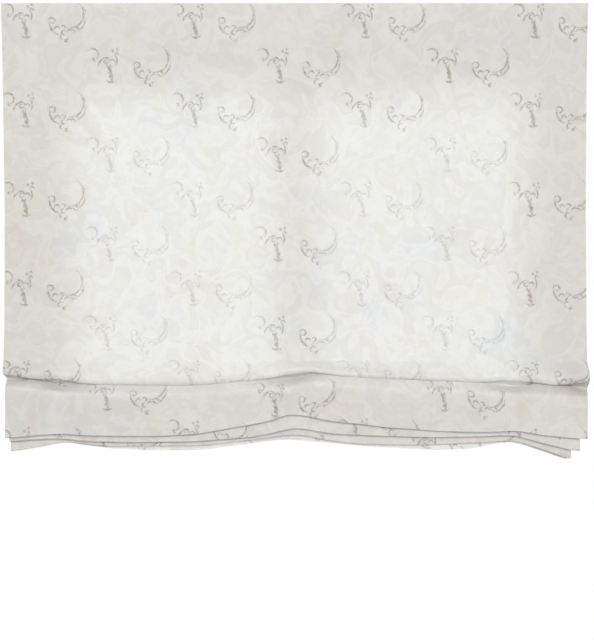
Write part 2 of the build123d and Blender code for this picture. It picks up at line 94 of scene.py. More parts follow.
# ---------------------------------------------------------------- how the cloth hangs
# Each line is (places across the cloth, heights there), in millimetres. Places are from the
# middle, and heights are measured down from the line where the flat cloth runs into the folds.
CREASE = (
    (-588, -539, -484, -417, -193, -91, -17, 42, 74, 134, 195, 327, 433, 594),
    (45, 52, 58, 62, 62, 54, 48, 37, 42, 46, 49, 54, 61, 67),
)
BOTTOMS = (
    (
        (-581, -503, -468, -432, -292, -201, -90, -47, -16, 2, 31, 73, 193, 294, 406, 446, 503, 578),
        (166, 158, 157, 160, 162, 158, 139, 130, 118, 117, 123, 131, 144, 152, 154, 150, 160, 167),
    ),
    (
        (-575, -512, -469, -433, -334, -202, -90, -48, -12, 15, 38, 80, 275, 376, 441, 509, 565),
        (173, 168, 167, 172, 175, 173, 165, 157, 147, 146, 151, 158, 165, 163, 160, 178, 192),
    ),
    (
        (-566, -513, -471, -434, -375, -192, -90, -48, -12, 17, 59, 132, 255, 377, 446, 540, 556),
        (193, 184, 175, 177, 183, 182, 171, 165, 160, 160, 170, 179, 181, 176, 171, 202, 209),
    ),
)
HEM = (
    (-568, -472, -435, -376, -294, -193, -91, -48, -5, 72, 149, 301, 364, 412, 447, 510, 553),
    (188, 174, 180, 188, 192, 192, 179, 172, 170, 177, 184, 192, 188, 177, 175, 196, 211),
)
# The left and right edges of the flat cloth, from its top down, as (heights from the top, edges).
LEFT_EDGE = ((0, 40, 150, 290, 420, 660, 722), (-601, -600, -597, -595, -593, -594, -596))
RIGHT_EDGE = ((0, 40, 150, 290, 420, 660, 722), (601, 600, 598, 597, 596, 598, 599))
# The same edges along the gathered cloth: at the swelling, the crease, each fold and the hem.
SWELL_EDGES = (-594, 601)
CREASE_EDGES = (-588, 599)
FOLD_EDGES = ((-585, 592), (-578, 578), (-576, 561))
HEM_EDGES = (-570, 554)

ROW_STACK = 12 * MM  # height that a gathered row of rings takes
RIDGE_GAP = 3 * MM  # height of the cloth's bend at a row of rings
LAYER_GAP = 4 * MM  # from one layer of cloth to the next
SIDE_HEM = 25 * MM  # cloth turned to the reverse down each side
LAYER_SLOPE = radians(19)  # how steeply the layers leave the rings
LEAD_DROP = 11 * MM  # upright cloth before it swells out
PANES = ((-0.455, -0.035), (0.035, 0.47))  # left and right sides of the two panes behind the cloth
PANE_HEAD = -0.17  # height of their tops
PANE_FOOT = SPLIT_Z - 0.25  # and of their feet
PAINTED_PANE_LIGHT = 0.54  # how much of the ink is taken from the cloth before them: painted light, standing for the daylight through the panes
PAINTED_LIGHT_HEAD = (0.17, 0.33)  # along the cloth, where that begins, and where it is whole
PAINTED_LIGHT_FOOT = (0.86, 0.80)  # and where it ends
CREASE_ALONG = 70 * MM  # along the cloth, from where the folds begin to the crease at the cords
FRONT_ALONG = 250 * MM  # and to about the bottom of the front fold
KNOT_SIZE = 0.75 * MM  # a third of the knot's reach from its middle
KNOT_DROP = 2.0 * MM  # from the orb's foot to the knot's middle
TAIL_LENGTH = 9 * MM  # cord left below the knot

# ---------------------------------------------------------------- the stage
FLOOR_Z = -1.8
CAMERA_DISTANCE = 3.2  # from the cloth
VIEW_WIDTH = 1.2165  # width seen at the cloth
VIEW_MIDDLE = (0.0051, -0.634)  # the middle of the view there, as x and z
LAMP_WHITE = "#fffefa"
ROOM_LIGHT = 0.135  # how brightly the white room lights the blind, against how it looks


# ================================================================ meshes
def smoothed_line(line, across, width=0.018):
    """Heights at the places across, in metres.

    Straight steps between the line's own points, then a running mean weighted by a bell curve of
    the given width, so that no corner is left.
    """
    places, heights = (np.array(part) * MM for part in line)
    even = np.linspace(across.min() - 4 * width, across.max() + 4 * width, 600)
    rough = np.interp(even, places, heights)
    step = even[1] - even[0]
    reach = np.arange(-int(3 * width / step), int(3 * width / step) + 1) * step
    bell = np.exp(-((reach / width) ** 2) / 2)
    padded = np.pad(rough, len(reach) // 2, mode="edge")
    return np.interp(across, even, np.convolve(padded, bell / bell.sum(), mode="valid"))


def nearness(across, places, width):
    """One at each of the places, falling off as a bell curve of the given width."""
    gaps = across[..., None] - np.asarray(places)
    return np.exp(-((gaps / width) ** 2) / 2).max(axis=-1)


def rounded_rows(corners, radii, bend_steps, run_steps):
    """Rows of points that follow a route of corners with rounded bends.

    corners is (corners, columns, 3). A bend leaves its run at a distance from the corner of the
    radius times the tangent of half the turn, and follows the quadratic curve whose three control
    points are that place, the corner, and the like place on the next run. Runs are cut evenly.
    """
    runs = np.diff(corners, axis=0)
    lengths = np.linalg.norm(runs, axis=2, keepdims=True)
    ways = runs / lengths
    turns = np.arccos(np.clip((ways[:-1] * ways[1:]).sum(axis=2, keepdims=True), -1, 1))
    reach = np.asarray(radii)[:, None, None] * np.tan(turns / 2)
    reach = np.minimum(reach, 0.49 * np.minimum(lengths[:-1], lengths[1:]))
    starts = corners[1:-1] - ways[:-1] * reach
    ends = corners[1:-1] + ways[1:] * reach
    rows, leaving = [corners[:1]], corners[0]
    for start, corner, end, steps in zip(starts, corners[1:-1], ends, run_steps):
        share = np.linspace(0, 1, steps + 1)[1:, None, None]
        rows.append(leaving + (start - leaving) * share)
        bend = np.linspace(0, 1, bend_steps + 1)[1:, None, None]
        rows.append(start * (1 - bend) ** 2 + 2 * corner * bend * (1 - bend) + end * bend**2)
        leaving = end
    share = np.linspace(0, 1, run_steps[-1] + 1)[1:, None, None]
    rows.append(leaving + (corners[-1] - leaving) * share)
    return np.concatenate(rows)


def grid_faces(rows, columns, around=False):
    """Quads between neighbouring points of a grid, closed across its columns if around."""
    row, column = np.meshgrid(np.arange(rows - 1), np.arange(columns if around else columns - 1), indexing="ij")
    beside = (column + 1) % columns
    first = row * columns
    quads = np.stack([first + column, first + beside, first + columns + beside, first + columns + column], axis=-1)
    return quads.reshape(-1, 4)


def new_piece(name, points, faces, materials, uvs=None):
    """A smooth-shaded object from points, quads or polygons, and texture places for its points."""
    mesh = bpy.data.meshes.new(name)
    polygons = faces if isinstance(faces, list) else faces.tolist()
    mesh.from_pydata(np.asarray(points, dtype=float).reshape(-1, 3).tolist(), [], polygons)
    if uvs is not None:
        corners = np.empty(len(mesh.loops), dtype=np.int32)
        starts = np.empty(len(mesh.polygons), dtype=np.int32)
        mesh.loops.foreach_get("vertex_index", corners)
        mesh.polygons.foreach_get("loop_start", starts)
        placed = np.asarray(uvs, dtype=np.float32).reshape(-1, 2)[corners]
        # a face that closes a tube runs on past one turn, and not back to nothing
        furthest = np.maximum.reduceat(placed[:, 0], starts)
        furthest = np.repeat(furthest, np.diff(np.append(starts, len(corners))))
        placed[:, 0] += furthest - placed[:, 0] > 0.5
        mesh.uv_layers.new(name="UVMap").data.foreach_set("uv", placed.ravel())
    mesh.polygons.foreach_set("use_smooth", np.ones(len(mesh.polygons), dtype=bool))
    for material in materials:
        mesh.materials.append(material)
    mesh.validate()
    mesh.update()
    piece = bpy.data.objects.new(name, mesh)
    bpy.context.scene.collection.objects.link(piece)
    return piece


def tube(path, radius, sides=10, closed=False):
    """Points, faces and texture places of a round tube along a path of points.

    The profile is a circle in the plane across the path, whose first axis is the cross product of
    the path's direction and the axis that the whole path keeps furthest from.
    """
    path = np.asarray(path, dtype=float)
    if closed:
        along = np.roll(path, -1, axis=0) - np.roll(path, 1, axis=0)
    else:
        along = np.gradient(path, axis=0)
    along /= np.linalg.norm(along, axis=1, keepdims=True)
    axis = np.eye(3)[np.abs(along).max(axis=0).argmin()]
    side = np.cross(along, axis)
    side /= np.linalg.norm(side, axis=1, keepdims=True)
    other = np.cross(along, side)
    angle = np.arange(sides) / sides * tau
    ring = side[:, None] * np.cos(angle)[None, :, None] + other[:, None] * np.sin(angle)[None, :, None]
    points = path[:, None] + ring * radius
    rows = len(path)
    if closed:
        faces = (grid_faces(rows + 1, sides, around=True) % (rows * sides)).tolist()
    else:
        faces = grid_faces(rows, sides, around=True).tolist()
        faces += [list(range(sides))[::-1], list(range((rows - 1) * sides, rows * sides))]
    length = np.concatenate([[0], np.cumsum(np.linalg.norm(np.diff(path, axis=0), axis=1))])
    uvs = np.stack(np.broadcast_arrays(angle[None, :] / tau, length[:, None]), axis=-1)
    return points.reshape(-1, 3), faces, uvs.reshape(-1, 2)


def joined_tubes(tubes):
    """Several tubes' points, faces and texture places as one."""
    points, faces, uvs, count = [], [], [], 0
    for more_points, more_faces, more_uvs in tubes:
        points.append(more_points)
        uvs.append(more_uvs)
        faces += [[corner + count for corner in face] for face in more_faces]
        count += len(more_points)
    return np.concatenate(points), faces, np.concatenate(uvs)


def thicken(piece, rows, columns, thickness):
    """Gives a sheet its thickness, half to each side, with the reverse cloth on its back.

    The sheet's rim is kept sharp, so that its cut edge doesn't tilt the shading beside it.
    """
    edges = piece.data.edges
    ends = np.empty(len(edges) * 2, dtype=np.int32)
    edges.foreach_get("vertices", ends)
    row, column = np.divmod(ends.reshape(-1, 2), columns)
    rim = [(row == 0), (row == rows - 1), (column == 0), (column == columns - 1)]
    edges.foreach_set("use_edge_sharp", np.any([side.all(axis=1) for side in rim], axis=0))
    shell = piece.modifiers.new("cloth thickness", "SOLIDIFY")
    shell.thickness = thickness
    shell.offset = 0.0
    shell.material_offset = 1


def cloth_flutes(across, down):
    """How far the flat cloth stands off its plane, as shares of the flute depth.

    It is nothing at the cords, at the top edge and where the folds begin. Between them it is the
    sum of two sine waves of unlike length and phase, which lean as they go down.
    """
    free = 1 - nearness(across, CORD_X, 0.045)
    fade = np.sin(pi * np.clip(down / FLAT_DROP, 0, 1)) ** 0.8
    wave = 0.6 + 0.3 * np.sin(across * 19 + down * 1.7) + 0.25 * np.sin(across * 43 - down * 2.6 + 1.3)
    return free * fade * wave


def pulled_wrinkles(across, along, centres):
    """Short wrinkles that run out from the places where the cloth is held, from -1 to 1.

    Round each centre it is a cosine of seven times the direction from it, times a bell of the
    distance, and flat at the centre itself.
    """
    total = np.zeros(np.broadcast(across, along).shape)
    for number, (centre_x, centre_along) in enumerate(centres):
        side, down = across - centre_x, along - centre_along
        distance = np.hypot(side, down)
        ring = np.exp(-((distance / 0.06) ** 2)) * (1 - np.exp(-((distance / 0.014) ** 2)))
        total += ring * np.cos(7 * np.arctan2(down, side) + 1.9 * number)
    return total


def facing(points):
    """Unit directions in which the printed side of a grid of points faces."""
    ways = np.cross(np.gradient(points, axis=0), np.gradient(points, axis=1))
    return ways / np.linalg.norm(ways, axis=2, keepdims=True)


def edge_to_edge(edges, share):
    """Places across the cloth in metres, evenly from its left edge to its right one."""
    return (edges[0] + (edges[1] - edges[0]) * share) * MM


# ================================================================ materials
def linear(code, alpha=1.0):
    """An sRGB hex colour as the linear values that Blender works in."""
    channels = np.array([int(code[i : i + 2], 16) for i in (1, 3, 5)]) / 255
    low = channels / 12.92
    high = ((channels + 0.055) / 1.055) ** 2.4
    return (*np.where(channels <= 0.04045, low, high).tolist(), alpha)


def add_node(tree, kind, settings=None, inputs=None):
    """Adds a node, applies its settings, and sets or links the inputs that are named.

    A lone word as the settings is the node's operation, and inputs in a list are taken in order.
    An input is linked to a socket, or to the first output of a node, and set to anything else.
    """
    made = tree.nodes.new(f"ShaderNode{kind}")
    if isinstance(settings, str):
        settings = {"operation": settings}
    for name, value in (settings or {}).items():
        setattr(made, name, value)
    for name, value in inputs.items() if isinstance(inputs, dict) else enumerate(inputs or ()):
        if isinstance(value, bpy.types.Node):
            value = value.outputs[0]
        if isinstance(value, bpy.types.NodeSocket):
            tree.links.new(value, made.inputs[name])
        else:
            made.inputs[name].default_value = value
    return made


def new_material(name, shader):
    """The material of this name, made the first time with what shader(tree) returns as its surface."""
    if name in bpy.data.materials:
        return bpy.data.materials[name]
    material = bpy.data.materials.new(name)
    material.use_nodes = True
    tree = material.node_tree
    tree.nodes.clear()
    add_node(tree, "OutputMaterial", inputs={"Surface": shader(tree)})
    return material


# One printed pair of motifs, in millimetres, x to the right and y down, in a cell of PRINT_CELL.
# Each stroke is part of a spiral: centre x and y, radius where it starts and ends, the angle
# where it starts, the angle it sweeps (clockwise), and its width at its middle.
PRINT_CELL = (174.0, 182.6)
PRINT_START = (1.0, 6.0)  # how much of the first cell lies past the cloth's top left corner
PRINT_DROP = 91.3  # every other column is printed this much lower
PRINT_LEAN = 0.016  # the cloth is cut a little off its print, which creeps to the left going down
PRINT_STROKES = (
    # the open crescent, double on its outer side
    (141.2, 30.7, 30.5, 25.5, -60, 164, 3.6),
    (141.2, 31.5, 33.0, 36.0, -35, 112, 3.2),
    (157.0, 55.4, 2.6, 1.2, 0, 350, 3.6),
    # its curl on the left, and the stem that swings down from it
    (105.3, 43.0, 8.4, 3.5, 175, 330, 3.6),
    (123.5, 46.0, 24.6, 23.5, 98, 92, 4.4),
    (115.9, 58.9, 5.6, 4.5, 150, 220, 3.4),
    # leaves and drops where the two meet
    (128.8, 56.5, 5.0, 2.5, 180, 300, 3.2),
    (128.8, 66.0, 5.2, 3.0, 20, 300, 3.2),
    (127.0, 75.0, 6.0, 4.0, 90, 180, 3.2),
    (131.0, 76.0, 7.0, 6.0, 0, 80, 2.6),
    (134.2, 82.5, 3.0, 1.2, 0, 350, 3.6),
    (141.0, 66.0, 6.5, 5.0, 180, 150, 3.2),
    (148.0, 66.0, 6.0, 3.5, 200, 170, 3.0),
    # the upright spray: its hooked arm
    (14.8, 21.3, 14.0, 10.0, 208, 225, 3.6),
    (18.5, 29.5, 4.5, 2.0, 60, 200, 3.2),
    # its body of small leaves
    (48.0, 48.0, 23.0, 23.0, 188, 54, 3.8),
    (41.5, 33.0, 7.0, 6.5, 190, 175, 3.4),
    (41.8, 34.0, 5.0, 2.5, 0, 330, 3.6),
    (54.0, 36.0, 6.0, 5.0, 180, 200, 3.2),
    (44.0, 33.0, 20.0, 20.0, -38, 72, 3.2),
    (64.1, 20.1, 4.0, 2.5, 90, 340, 2.8),
    (56.5, 13.0, 1.8, 1.2, 0, 350, 2.8),
    (65.3, 9.2, 1.8, 1.2, 0, 350, 2.6),
    # its stem and foot
    (-10.0, 75.0, 63.5, 63.5, -34, 38, 6.4),
    (46.0, 43.0, 5.0, 3.0, 300, 250, 3.4),
    (50.0, 56.0, 3.4, 2.0, 0, 330, 3.2),
    (52.0, 66.0, 3.8, 2.4, 0, 330, 3.0),
    (52.4, 62.0, 14.8, 14.8, 50, 86, 3.8),
)


def print_group():
    """A node group that takes a place on the flat cloth, in metres, and gives the print's cover.

    Inside a stroke the cover is high: the angle round the stroke's centre, as a share s of its
    sweep, gives the spiral's radius, and the cover is its half width, four times s times one less
    s, less the distance to the spiral. The highest cover of all the strokes is kept.
    """
    group = bpy.data.node_groups.new("scroll print", "ShaderNodeTree")
    group.interface.new_socket("Place", in_out="INPUT", socket_type="NodeSocketVector")
    group.interface.new_socket("Cover", in_out="OUTPUT", socket_type="NodeSocketFloat")
    entry = group.nodes.new("NodeGroupInput")
    leave = group.nodes.new("NodeGroupOutput")
    # the strokes' edges wander by about a millimetre, so that they read as small leaves
    wander = add_node(
        group, "TexNoise", {"noise_dimensions": "2D"},
        {"Vector": entry.outputs["Place"], "Scale": 1 / 0.006, "Detail": 2.0, "Roughness": 0.6},
    )
    wander = add_node(group, "VectorMath", "SUBTRACT", [wander.outputs["Color"], (0.5, 0.5, 0.5)])
    wander = add_node(group, "VectorMath", "SCALE", {0: wander, "Scale": 3.4})
    scaled = add_node(group, "VectorMath", "SCALE", {0: entry.outputs["Place"], "Scale": 1 / MM})
    scaled = add_node(group, "VectorMath", "ADD", [scaled, (*PRINT_START, 0)])
    scaled = add_node(group, "VectorMath", "ADD", [scaled, wander])
    flat = add_node(group, "SeparateXYZ", inputs=[scaled])
    level = add_node(group, "Math", "MULTIPLY_ADD", [flat.outputs["Y"], PRINT_LEAN, flat.outputs["X"]])
    column = add_node(group, "Math", "DIVIDE", [level, PRINT_CELL[0]])
    column = add_node(group, "Math", "FLOOR", [column])
    odd = add_node(group, "Math", "FLOORED_MODULO", [column, 2.0])
    lowered = add_node(group, "Math", "MULTIPLY_ADD", [odd, PRINT_DROP, flat.outputs["Y"]])
    across = add_node(group, "Math", "FLOORED_MODULO", [level, PRINT_CELL[0]])
    down = add_node(group, "Math", "FLOORED_MODULO", [lowered, PRINT_CELL[1]])
    place = add_node(group, "CombineXYZ", inputs={"X": across, "Y": down})
    highest = None
    for x, y, first_radius, last_radius, start, sweep, width in PRINT_STROKES:
        local = add_node(group, "VectorMath", "SUBTRACT", [place, (x, y, 0)])
        parts = add_node(group, "SeparateXYZ", inputs=[local])
        reach = add_node(group, "VectorMath", "LENGTH", [local])
        angle = add_node(group, "Math", "ARCTAN2", [parts.outputs["Y"], parts.outputs["X"]])
        turned = add_node(group, "Math", "SUBTRACT", [angle, radians(start)])
        turned = add_node(group, "Math", "WRAP", [turned, tau, 0.0])
        share = add_node(group, "Math", "DIVIDE", [turned, radians(sweep)])
        radius = add_node(group, "Math", "MULTIPLY_ADD", [share, last_radius - first_radius, first_radius])
        miss = add_node(group, "Math", "SUBTRACT", [reach.outputs["Value"], radius])
        miss = add_node(group, "Math", "ABSOLUTE", [miss])
        rest = add_node(group, "Math", "SUBTRACT", [1.0, share])
        belly = add_node(group, "Math", "MULTIPLY", [rest, share])
        half = add_node(group, "Math", "MULTIPLY", [belly, 2 * width])
        cover = add_node(group, "Math", "SUBTRACT", [half, miss])
        if highest is not None:
            cover = add_node(group, "Math", "MAXIMUM", [highest, cover])
        highest = cover
    group.links.new(highest.outputs[0], leave.inputs["Cover"])
    return group


def cloth_ground(tree, place, colours, depth):
    """The faded ground of the print: soft pools of thin colour under pale marbled figures.

    depth is how strongly it shows, from 0 to 1.
    """
    colour = tuple(colours.ground)
    # (tint, size of its pools in metres, which slice of the noise, how strong)
    pools = (
        (colours.warm_tint, 0.11, 0.0, 0.75),
        (colours.cool_tint, 0.14, 3.7, 0.65),
        (colours.straw_tint, 0.09, 8.1, 0.55),
    )
    for tint, size, slice_at, strength in pools:
        noise = add_node(
            tree, "TexNoise", {"noise_dimensions": "4D"},
            {"Vector": place, "W": slice_at, "Scale": 1 / size, "Detail": 3.0, "Roughness": 0.55, "Distortion": 0.6},
        )
        amount = add_node(
            tree, "MapRange", {"interpolation_type": "SMOOTHSTEP"},
            {"Value": noise, "From Min": 0.5, "From Max": 0.72, "To Max": depth * strength},
        )
        mixed = add_node(tree, "Mix", {"data_type": "RGBA"}, {"Factor": amount, 6: colour, 7: tuple(tint)})
        colour = mixed.outputs[2]
    # large pale scrolling figures, tone on tone: a strongly distorted noise, cut to its ridges
    figure = add_node(
        tree, "TexNoise", {"noise_dimensions": "4D"},
        {"Vector": place, "W": 5.3, "Scale": 1 / 0.06, "Detail": 2.0, "Roughness": 0.55, "Distortion": 1.5},
    )
    for centre, tint, strength in ((0.46, colours.figure_light, 0.4), (0.57, colours.figure_dark, 0.3)):
        off = add_node(tree, "Math", "SUBTRACT", [figure, centre])
        off = add_node(tree, "Math", "ABSOLUTE", [off])
        amount = add_node(
            tree, "MapRange", {"interpolation_type": "SMOOTHSTEP"},
            {"Value": off, "From Min": 0.08, "From Max": 0.0, "To Max": depth * strength},
        )
        mixed = add_node(tree, "Mix", {"data_type": "RGBA"}, {"Factor": amount, 6: colour, 7: tuple(tint)})
        colour = mixed.outputs[2]
    return colour


def ink_lightened_as_painted_pane_light(tree, place, strength):
    """The ink's strength, cut to under half before the two panes: painted light where daylight falls through them.

    A pane's share is a soft step on the distance from its middle, times one at its head and one
    at the crease, past which the cloth is mostly folded away.
    """
    parts = add_node(tree, "SeparateXYZ", inputs=[place])
    steps = []
    for left, right in PANES:
        off = add_node(tree, "Math", "SUBTRACT", [parts.outputs["X"], (left + right + CLOTH_WIDTH) / 2])
        off = add_node(tree, "Math", "ABSOLUTE", [off])
        half = (right - left) / 2
        steps.append((off, half + 0.02, half - 0.06))
    steps += [(parts.outputs["Y"], *PAINTED_LIGHT_HEAD), (parts.outputs["Y"], *PAINTED_LIGHT_FOOT)]
    shares = [
        add_node(
            tree, "MapRange", {"interpolation_type": "SMOOTHSTEP"}, {"Value": value, "From Min": none, "From Max": full}
        )
        for value, none, full in steps
    ]
    panes = add_node(tree, "Math", "ADD", [shares[0], shares[1]])
    panes = add_node(tree, "Math", "MULTIPLY", [panes, shares[2]])
    panes = add_node(tree, "Math", "MULTIPLY", [panes, shares[3]])
    return add_node(tree, "Math", "MULTIPLY_ADD", [panes, -PAINTED_PANE_LIGHT * strength, strength])


def side_hems(tree, place):
    """The turned hem down each side of the reverse: its height, and where its stitches lie.

    The height is a step of one at the hem's inner edge. The stitches are dashes along a line just
    inside it, 7 mm from one to the next and drawn twice as coarse as real 3.5 mm ones.
    """
    parts = add_node(tree, "SeparateXYZ", inputs=[place])
    inside = add_node(tree, "Math", "SUBTRACT", [parts.outputs["X"], CLOTH_WIDTH / 2])
    inside = add_node(tree, "Math", "ABSOLUTE", [inside])
    inside = add_node(tree, "Math", "SUBTRACT", [CLOTH_WIDTH / 2, inside])
    step = add_node(
        tree, "MapRange", inputs={"Value": inside, "From Min": SIDE_HEM + 0.6 * MM, "From Max": SIDE_HEM - 0.6 * MM}
    )
    line = add_node(tree, "Math", "SUBTRACT", [inside, SIDE_HEM - 3 * MM])
    line = add_node(tree, "Math", "ABSOLUTE", [line])
    line = add_node(tree, "MapRange", inputs={"Value": line, "From Min": 1.2 * MM, "From Max": 0.7 * MM})
    dash = add_node(tree, "Math", "DIVIDE", [parts.outputs["Y"], 7 * MM])
    dash = add_node(tree, "Math", "FRACT", [dash])
    dash = add_node(tree, "Math", "GREATER_THAN", [dash, 0.35])
    stitch = add_node(tree, "Math", "MULTIPLY", [line, dash])
    height = add_node(tree, "Math", "MULTIPLY_ADD", [stitch, -0.7, step])
    return height, stitch


def cloth_relief(tree, place):
    """The cloth's surface: shallow handling creases, and slubs along both thread ways.

    The threads themselves, 0.4 mm apart, are too fine to show, so the slubs are drawn at 2.5 mm.
    """
    creases = add_node(
        tree, "TexNoise", {"noise_dimensions": "2D"},
        {"Vector": place, "Scale": 1 / 0.075, "Detail": 3.0, "Roughness": 0.5, "Distortion": 0.9},
    )
    relief = add_node(tree, "Bump", inputs={"Height": creases, "Strength": 1.0, "Distance": 2.2 * MM})
    for stretch in ((1 / 0.03, 1 / 0.0025, 1.0), (1 / 0.0025, 1 / 0.04, 1.0)):
        threads = add_node(tree, "VectorMath", "MULTIPLY", [place, stretch])
        slubs = add_node(
            tree, "TexNoise", {"noise_dimensions": "2D"},
            {"Vector": threads, "Scale": 1.0, "Detail": 1.0, "Roughness": 0.5},
        )
        relief = add_node(
            tree, "Bump", inputs={ "Height": slubs, "Strength": 0.35, "Distance": 0.12 * MM, "Normal": relief, }
        )
    return relief


def cloth_shader(tree, colours, front):
    """Thin cotton: part of the light is scattered back, and part goes through to the other side."""
    place = add_node(tree, "TexCoord").outputs["UV"]
    colour = cloth_ground(tree, place, colours, 1.0 if front else 0.35)
    printing = bpy.data.node_groups.get("scroll print") or print_group()
    group = add_node(tree, "Group", {"node_tree": printing}, {"Place": place})
    ink = add_node(
        tree, "MapRange", {"interpolation_type": "SMOOTHSTEP"},
        {"Value": group.outputs["Cover"], "From Min": -1.3, "From Max": 1.1},
    )
    # worn, uneven printing: the ink is thin in places, and leans to brown or to grey
    wear = add_node(
        tree, "TexNoise", {"noise_dimensions": "2D"},
        {"Vector": place, "Scale": 1 / 0.008, "Detail": 3.0, "Roughness": 0.7},
    )
    wear = add_node(
        tree, "MapRange", inputs={"Value": wear, "From Min": 0.34, "From Max": 0.62, "To Min": 0.3, "To Max": 1.0}
    )
    pool = add_node(tree, "TexNoise", {"noise_dimensions": "2D"}, {"Vector": place, "Scale": 1 / 0.16, "Detail": 1.0})
    pool = add_node(tree, "MapRange", inputs={"Value": pool, "From Min": 0.38, "From Max": 0.62})
    ink_colour = add_node(
        tree, "Mix", {"data_type": "RGBA"}, {"Factor": pool, 6: tuple(colours.ink_warm), 7: tuple(colours.ink_grey)}
    )
    amount = add_node(tree, "Math", "MULTIPLY", [ink, wear])
    # painted light: the ink is lightened before the two panes, where the pane lamps also shine through
    kept = ink_lightened_as_painted_pane_light(tree, place, colours.ink_strength * (1 if front else 0.3))
    amount = add_node(tree, "Math", "MULTIPLY", [amount, kept])
    printed = add_node(tree, "Mix", {"data_type": "RGBA"}, {"Factor": amount, 6: colour, 7: ink_colour.outputs[2]})
    normal = cloth_relief(tree, place)
    if not front:
        height, stitch = side_hems(tree, place)
        hemmed = add_node(
            tree, "Bump", inputs={"Height": height, "Strength": 1.0, "Distance": 0.5 * MM, "Normal": normal}
        )
        normal = hemmed
        printed = add_node(
            tree, "Mix", {"data_type": "RGBA"}, {"Factor": stitch, 6: printed.outputs[2], 7: tuple(colours.thread)}
        )
    surface = add_node(
        tree, "BsdfPrincipled",
        inputs={
            "Base Color": printed.outputs[2],
            "Roughness": 0.85,
            "IOR": 1.45,
            "Sheen Weight": 0.15,
            "Sheen Roughness": 0.5,
            "Normal": normal,
        },
    )
    through = add_node(tree, "BsdfTranslucent", inputs={"Color": printed.outputs[2], "Normal": normal})
    return add_node(tree, "MixShader", inputs=[0.5, surface, through])


def printed_cotton(colours):
    """Plain-woven cotton, printed on one side: matt, soft and slightly see-through."""
    return new_material("printed cotton", lambda tree: cloth_shader(tree, colours, True))


def cotton_reverse(colours):
    """The same cotton's unprinted reverse, where the ink only shows faintly through."""
    return new_material("cotton reverse", lambda tree: cloth_shader(tree, colours, False))


def braided_polyester(colours):
    """Braided polyester cord: bright white, with two sets of strands crossing on the slant, and painted shade in the
    gaps between them.
    """

    def shader(tree):
        place = add_node(tree, "TexCoord").outputs["UV"]
        parts = add_node(tree, "SeparateXYZ", inputs=[place])
        # strands: sixteen round the cord, one turn in 6 mm, drawn coarser than the real 0.3 mm
        heights = []
        for way in (1.0, -1.0):
            slant = add_node(tree, "Math", "MULTIPLY_ADD", [parts.outputs["Y"], way / 0.006, parts.outputs["X"]])
            wave = add_node(tree, "Math", "MULTIPLY", [slant, 4 * tau])
            heights.append(add_node(tree, "Math", "SINE", [wave]))
        braid = add_node(tree, "Math", "MAXIMUM", [heights[0], heights[1]])
        # painted shade: the gaps between the strands are mixed darker, besides the bump
        tone = add_node(
            tree, "Mix", {"data_type": "RGBA"},
            {"Factor": braid, 6: tuple(colours.cord_shade), 7: tuple(colours.cord)},
        )
        bump = add_node(tree, "Bump", inputs={"Height": braid, "Strength": 0.6, "Distance": 0.1 * MM})
        surface = add_node(
            tree, "BsdfPrincipled",
            inputs={"Base Color": tone.outputs[2], "Roughness": 0.55, "Sheen Weight": 0.3, "Normal": bump},
        )
        return surface

    return new_material("braided polyester", shader)


def plain_finish(
    name, colour, roughness, grain, depth, metallic=0.0, stretch=(1, 1, 1), sheen=0.0, coat=0.0, spread=0.05
):
    """A solid finish with a fine grain: colour and roughness vary a little, and the grain is felt.

    grain is the grain's size in metres, depth its height, stretch how the grain is drawn out
    along each axis, and spread how far the colour strays.
    """

    def shader(tree):
        place = add_node(tree, "TexCoord").outputs["Object"]
        drawn = add_node(tree, "VectorMath", "MULTIPLY", [place, stretch])
        noise = add_node(
            tree, "TexNoise", inputs={"Vector": drawn, "Scale": 1 / grain, "Detail": 4.0, "Roughness": 0.6}
        )
        clouds = add_node(tree, "TexNoise", inputs={"Vector": place, "Scale": 1 / 0.06, "Detail": 3.0})
        base = np.array(colour)
        tone = add_node(
            tree, "Mix", {"data_type": "RGBA"},
            {
                "Factor": clouds,
                6: (*(base[:3] * (1 - spread)), 1.0),
                7: (*np.minimum(base[:3] * (1 + spread), 1.0), 1.0),
            },
        )
        rough = add_node(
            tree, "MapRange",
            inputs={
                "Value": noise,
                "From Min": 0.3,
                "From Max": 0.7,
                "To Min": max(roughness - 0.06, 0.05),
                "To Max": min(roughness + 0.08, 1.0),
            },
        )
        bump = add_node(tree, "Bump", inputs={"Height": noise, "Strength": 0.5, "Distance": depth})
        surface = add_node(
            tree, "BsdfPrincipled",
            inputs={
                "Base Color": tone.outputs[2],
                "Roughness": rough,
                "Metallic": metallic,
                "Sheen Weight": sheen,
                "Coat Weight": coat,
                "Normal": bump,
            },
        )
        return surface

    return new_material(name, shader)


def tape_finish(name, colour, spacing, depth, woolly):
    """Sew-on fastening tape: rows of stiff little hooks, or a matted pile of soft loops, painted darker in their
    hollows as painted shade.
    """

    def shader(tree):
        place = add_node(tree, "TexCoord").outputs["Object"]
        if woolly:
            pattern = add_node(
                tree, "TexNoise",
                inputs={"Vector": place, "Scale": 1 / spacing, "Detail": 5.0, "Roughness": 0.75, "Distortion": 1.2},
            )
            height = pattern
        else:
            pattern = add_node(
                tree, "TexVoronoi", {"feature": "F1"}, {"Vector": place, "Scale": 1 / spacing, "Randomness": 0.15}
            )
            height = add_node(tree, "Math", "SUBTRACT", [1.0, pattern.outputs["Distance"]])
        base = np.array(colour)
        # painted shade: the low parts, between the hooks and down in the pile, are mixed to a darker colour
        tone = add_node(
            tree, "Mix", {"data_type": "RGBA"}, {"Factor": height, 6: (*(base[:3] * 0.55), 1.0), 7: tuple(colour)}
        )
        bump = add_node(tree, "Bump", inputs={"Height": height, "Strength": 1.0, "Distance": depth})
        surface = add_node(
            tree, "BsdfPrincipled",
            inputs={
                "Base Color": tone.outputs[2],
                "Roughness": 0.9 if woolly else 0.5,
                "Sheen Weight": 0.5 if woolly else 0.0,
                "Normal": bump,
            },
        )
        return surface

    return new_material(name, shader)


